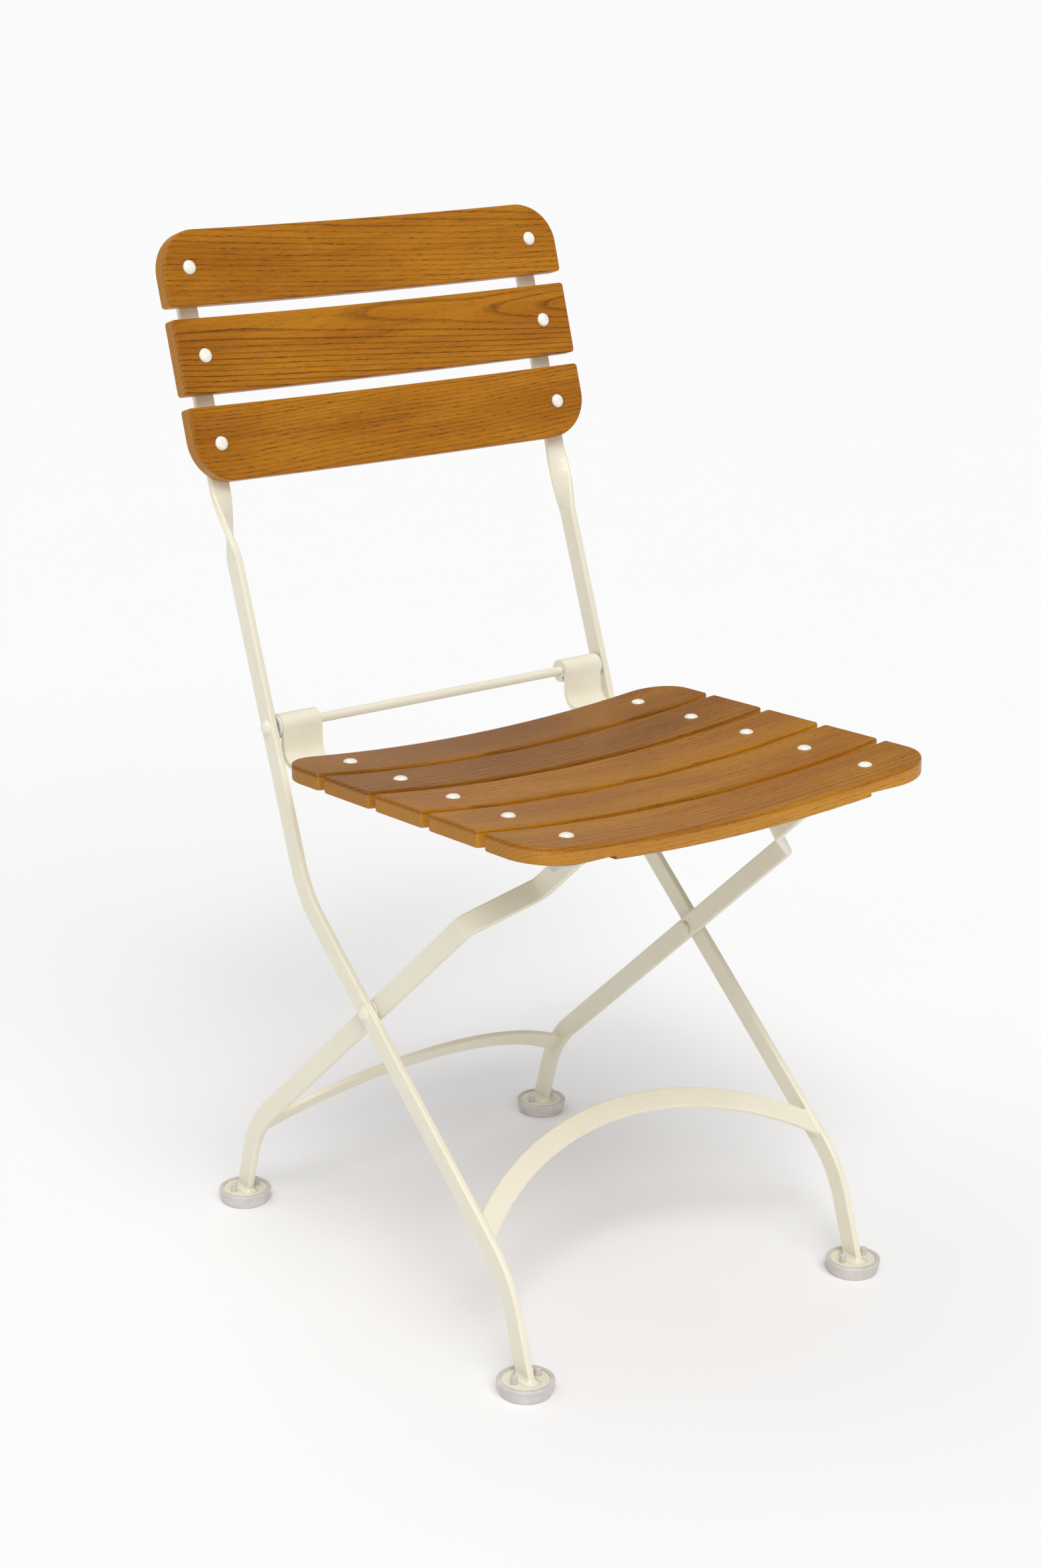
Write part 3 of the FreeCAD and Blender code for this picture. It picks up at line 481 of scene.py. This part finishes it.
def lathe(tree, rounds, rings, radius_of, height_of):
    """A closed turned shape: a unit cylinder whose rings take radius and height from t = 0 to 1."""
    blank = tree.node("GeometryNodeMeshCylinder", {"fill_type": "TRIANGLE_FAN"},
                      {"Vertices": rounds, "Side Segments": rings, "Radius": 1.0, "Depth": 1.0}, "Mesh")
    x, y, z = tree.parts(tree.node("GeometryNodeInputPosition"))
    t = z + 0.5
    radius = radius_of(t)
    shaped = tree.node("GeometryNodeSetPosition", None,
                       {"Geometry": blank,
                        "Position": tree.vector(x * radius, y * radius, height_of(t))})
    merged = tree.node("GeometryNodeMergeByDistance", None, {"Geometry": shaped, "Distance": 1e-6})
    return tree.node("GeometryNodeSetShadeSmooth", None, {"Geometry": merged, "Shade Smooth": True})


def rivet_rows_tree():
    """Two rows of slat rivets: domed head, shank and peened tail, repeated at a pitch."""
    tree = Growth("rivet_rows", {"Count": "Int", "Pitch": "Float", "Half Across": "Float",
                                 "Head Radius": "Float", "Dome": "Float", "Rim": "Float", "Shank": "Float",
                                 "Grip": "Float", "Tail Radius": "Float", "Tail Height": "Float",
                                 "Finish": "Material"})
    head_radius, dome, rim = (tree.given(n) for n in ("Head Radius", "Dome", "Rim"))
    grip, tail_radius, tail_height = (tree.given(n) for n in ("Grip", "Tail Radius", "Tail Height"))
    quarter = math.pi / 2

    def dome_radius(t):
        return ((1 - t) * quarter).func("SINE") * head_radius

    def dome_height(t):
        return ((1 - t) * quarter).func("COSINE") * (dome - rim) + rim * t.func("GREATER_THAN", 0.001)

    def tail_radius_of(t):
        return (1 - (2 * t - 1) ** 2.0 * 0.999).func("MAXIMUM", 0.0) ** 0.5 * tail_radius * 0.35 + \
            tail_radius * 0.65 * (t * math.pi).func("SINE") ** 0.4

    head = lathe(tree, 40, 14, dome_radius, dome_height)
    shank = lathe(tree, 20, 2, lambda t: tree.given("Shank") + t * 0, lambda t: 0 - t * grip)
    tail = lathe(tree, 28, 8, tail_radius_of, lambda t: 0 - grip - (1 - t) * tail_height)
    flipped = tree.node("GeometryNodeFlipFaces", None, {"Mesh": shank})
    rivet = tree.node("GeometryNodeJoinGeometry", None, {0: [head, flipped, tail]})
    lines = [tree.node("GeometryNodeMeshLine", None,
                       {"Count": tree.given("Count"),
                        "Start Location": tree.vector(tree.given("Half Across") * side, 0.0, 0.0),
                        "Offset": tree.vector(0.0, -tree.given("Pitch"), 0.0)})
             for side in (1, -1)]
    rows = tree.node("GeometryNodeJoinGeometry", None, {0: lines})
    spots = tree.node("GeometryNodeMeshToPoints", None, {"Mesh": rows})
    spin = tree.node("FunctionNodeRandomValue", {"data_type": "FLOAT"},
                     {2: 0.0, 3: 6.283, "Seed": 11}, 1)
    placed = tree.node("GeometryNodeInstanceOnPoints", None,
                       {"Points": spots, "Instance": rivet, "Rotation": tree.vector(0.0, 0.0, spin)})
    tree.close(placed)
    return tree


def head_level(land_outer, rivet_x):
    """Height of a rivet head's seat above the slat's landing."""
    return SLAT_THICK - dish_rise(land_outer) + dish_rise(rivet_x) - SPOT_FACE


rivets = rivet_rows_tree()
seat_level = head_level(STRAP_X + STRAP_LANDING / 2, SEAT_RIVET_X)
back_level = head_level(BAR_X + BAR_LANDING / 2, BAR_X)
RIVET = {"Head Radius": 0.006, "Dome": 0.0033, "Rim": 0.0004, "Shank": 0.003,
         "Tail Radius": 0.0045, "Tail Height": 0.002, "Finish": head_enamel}
seat_rivets = rivets.grow(
    "seat_rivet_rows", "seat",
    {"Count": SEAT_SLATS, "Pitch": SEAT_PITCH, "Half Across": SEAT_RIVET_X,
     "Grip": seat_level + STRAP_THICK, **RIVET},
    SEAT_FRAME @ Matrix.Translation((0, -FIRST_SEAT_RIVET, STRAP_TOP + seat_level)))
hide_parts("seat_rivets")
back_rivets = rivets.grow(
    "backrest_rivet_rows", "frame",
    {"Count": BACK_SLATS, "Pitch": -BACK_PITCH, "Half Across": BAR_X,
     "Grip": back_level + BAR_THICK, **RIVET},
    Matrix.Translation(BACK_POINTS[0] + BACK_FORWARD * (BAR_THICK / 2 + back_level))
    @ tilted(90 - BACK_LEAN))
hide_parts("backrest_rivets")


# ------------------------------------------------------------------ welds

def weld_bead_tree():
    """A bead laid along a path, its thickness rising and falling in small overlapping pools."""
    tree = Growth("weld_bead", {"Bead Radius": "Float", "Pool Length": "Float", "Unevenness": "Float",
                                "Finish": "Material"})
    path = tree.node("GeometryNodeMeshToCurve", None, {"Mesh": tree.given("Geometry")})
    path = tree.node("GeometryNodeResampleCurve", {"mode": "LENGTH"}, {"Curve": path, "Length": 0.0007})
    along = tree.node("GeometryNodeSplineParameter", None, None, "Length")
    pool = (along * (2 * math.pi) / tree.given("Pool Length")).func("SINE")
    lumps = tree.node("ShaderNodeTexNoise", None, {"Scale": 260.0, "Detail": 2.0})
    swell = 1 + (pool * 0.35 + (lumps - 0.5) * 1.3) * tree.given("Unevenness")
    path = tree.node("GeometryNodeSetCurveRadius", None, {"Curve": path, "Radius": swell})
    ring = tree.node("GeometryNodeCurvePrimitiveCircle", None,
                     {"Resolution": 14, "Radius": tree.given("Bead Radius")})
    bead = tree.node("GeometryNodeCurveToMesh", None,
                     {"Curve": path, "Profile Curve": ring, "Fill Caps": True})
    tree.close(tree.node("GeometryNodeSetShadeSmooth", None, {"Geometry": bead, "Shade Smooth": True}))
    return tree


def eased_outline(half_wide, half_thick, radius, steps=4):
    """Points round a rectangle with eased corners."""
    points = []
    for quarter, (su, sv) in enumerate(((1, 1), (-1, 1), (-1, -1), (1, -1))):
        for step in range(steps + 1):
            angle = math.radians(90 * (quarter + step / steps))
            points.append((su * (half_wide - radius) + radius * math.cos(angle),
                           sv * (half_thick - radius) + radius * math.sin(angle)))
    return points


weld_bead = weld_bead_tree()


def arch_welds(name, body, end, turn, half_span):
    """Beads round both ends of an arch, where it meets the legs' inner faces."""
    lean = math.asin(half_span / ARCH_RADIUS)
    outline = eased_outline(ARCH_WIDTH / 2, ARCH_THICK / 2, ARCH_EDGE)
    rings = []
    for side in (1, -1):
        ring = [Vector((side * half_span, u / math.cos(lean), v)) for u, v in outline]
        rings.append([Matrix.Translation(end) @ tilted(turn) @ p for p in ring])
    made = bpy.data.meshes.new(f"{name}_paths")
    points = [tuple(p) for ring in rings for p in ring]
    count = len(rings[0])
    edges = [(start + n, start + (n + 1) % count) for start in (0, count) for n in range(count)]
    made.from_pydata(points, edges, [])
    beads = weld_bead.grow(name, body, {"Bead Radius": 0.0014, "Pool Length": 0.0035,
                                        "Unevenness": 0.55, "Finish": weld_coat}, seed_mesh=made)


front_end = (PIVOT - direction(SIDE_SLOPE) * FRONT_ARCH_FROM_PIVOT
             + direction(SIDE_SLOPE + 90) * FRONT_ARCH_OFFSET)
rear_way, rear_foot_way = direction(180 - REAR_SLOPE), direction(90 + REAR_FOOT_LEAN)
rear_foot_bend = PIVOT + rear_way * ((REAR_FOOT_BEND_Z - PIVOT.z) / rear_way.z)
half_turn = math.radians(90 - REAR_SLOPE - REAR_FOOT_LEAN) / 2
bend_depth = BEND_RADIUS * (1 / math.cos(half_turn) - 1)
rear_end = rear_foot_bend + (rear_way - rear_foot_way).normalized() * bend_depth
arch_welds("front_arch_welds", "frame", front_end, SIDE_SLOPE, BAR_X - BAR_THICK / 2)
arch_welds("rear_arch_welds", "rear_legs", rear_end, 180 - REAR_ARCH_TILT, REAR_LEG_X - BAR_THICK / 2)


def foot_flare(name, body, feet, lean_ratio):
    """Smooth weld that spreads from the end of each bar over its foot disc."""
    mesh = bmesh.new()
    spread, steeper, sunk, steps = 0.0046, 1.25, 0.00015, 8
    waviness, wavy_steps = 0.05, 3
    for x, y in feet:
        loops = []
        for step in range(steps + 1):
            turn = math.radians(90) * step / steps
            out = spread * (1 - math.sin(turn)) - sunk
            up = spread * steeper * (1 - math.cos(turn))
            ring = eased_outline(BAR_THICK / 2 + out, BAR_WIDTH / 2 + out, BAR_EDGE + out)
            uneven = waviness if step < wavy_steps else 0
            loops.append([mesh.verts.new((x + u * (1 + uneven * math.sin(n * 1.7 + x * 90)),
                                          y + v + up * lean_ratio, FOOT_DISC_TOP + up))
                          for n, (u, v) in enumerate(ring)])
        for low, high in zip(loops, loops[1:]):
            for n in range(len(low)):
                m = (n + 1) % len(low)
                mesh.faces.new((low[n], low[m], high[m], high[n]))
        mesh.faces.new(list(reversed(loops[0])))
        mesh.faces.new(loops[-1])
    bmesh.ops.recalc_face_normals(mesh, faces=mesh.faces)
    for face in mesh.faces:
        face.smooth = True
    made = bpy.data.meshes.new(name)
    mesh.to_mesh(made)
    mesh.free()
    piece(name, made, body, weld_coat)


foot_flare("front_foot_welds", "frame", [(side * BAR_X, FRONT_FOOT_Y) for side in (1, -1)],
           math.tan(math.radians(FRONT_FOOT_LEAN)))
foot_flare("rear_foot_welds", "rear_legs", [(side * REAR_LEG_X, REAR_FOOT_Y) for side in (1, -1)],
           -math.tan(math.radians(REAR_FOOT_LEAN)))


# ------------------------------------------------------------------ studio

def studio_surface(name, colour):
    """Plain matt paper."""
    paper = Finish(name)
    mottle = paper.noise(paper.place(), 3.0, 3.0)
    tone = paper.mix(mottle * 0.5, colour, shade(colour, 0.985))
    return paper.finish(tone, 0.9 + mottle * 0.05, mottle, 0.0001, Specular_IOR_Level=0.1)


FLOOR_REACH = 90
FLOOR_CORNERS = ((-1, -1), (1, -1), (1, 1), (-1, 1))
floor_mesh = bpy.data.meshes.new("studio_floor")
floor_mesh.from_pydata([(FLOOR_REACH * u, FLOOR_REACH * v, 0) for u, v in FLOOR_CORNERS],
                       [], [(0, 1, 2, 3)])
floor = bpy.data.objects.new("studio_floor", floor_mesh)
bpy.context.scene.collection.objects.link(floor)
floor_mesh.materials.append(studio_surface("pale_floor", rgb(247, 247, 247)))

world = bpy.data.worlds.new("studio_sky")
bpy.context.scene.world = world
world.use_nodes = True
sky = Tree(world.node_tree)
towards = sky.node("ShaderNodeTexCoord", None, None, "Generated")
height = sky.parts(towards)[2]
pale_band = sky.node("ShaderNodeMapRange", {"interpolation_type": "SMOOTHSTEP"},
                     {0: height, 1: 0.05, 2: 0.15, 3: 0.92, 4: 0.29})
sky.node("ShaderNodeOutputWorld", None,
         {"Surface": sky.node("ShaderNodeBackground", None,
                              {"Color": (1.0, 1.0, 1.0, 1.0), "Strength": pale_band})})


def soft_lamp(name, come_from, strength, spread):
    """A distant lamp as broad as a softbox, shining from a direction towards the chair."""
    light = bpy.data.lights.new(name, "SUN")
    light.energy, light.angle = strength, math.radians(spread)
    obj = bpy.data.objects.new(name, light)
    obj.rotation_euler = Vector(come_from).to_track_quat("Z", "Y").to_euler()
    bpy.context.scene.collection.objects.link(obj)


soft_lamp("key_lamp", (-0.30, -0.80, 0.95), 1.55, 42)
soft_lamp("glint_lamp", (-0.45, -0.60, 0.90), 0.40, 16)
soft_lamp("top_lamp", (-0.25, 0.15, 1.0), 0.95, 80)

# camera, from its heading, height above the horizon and roll
HEADING, ELEVATION, ROLL = -37.349, 17.463, 0.415
SENSOR, LENS, CAMERA_PLACE = 36.0, 66.782, (-1.39922, -1.81731, 1.12678)
heading, elevation = math.radians(HEADING), math.radians(ELEVATION)
back = Vector((math.sin(heading) * math.cos(elevation), -math.cos(heading) * math.cos(elevation),
               math.sin(elevation)))
right = Vector((0, 0, 1)).cross(back).normalized()
up = back.cross(right)
turned = Matrix((right, up, back)).transposed() @ Matrix.Rotation(math.radians(ROLL), 3, "Z")
lens = bpy.data.cameras.new("portrait_camera")
lens.sensor_width, lens.lens = SENSOR, LENS
lens.clip_end = 100
camera = bpy.data.objects.new("portrait_camera", lens)
camera.location = CAMERA_PLACE
camera.rotation_euler = turned.to_euler()
bpy.context.scene.collection.objects.link(camera)
bpy.context.scene.camera = camera
bpy.context.scene.view_settings.view_transform = "Standard"
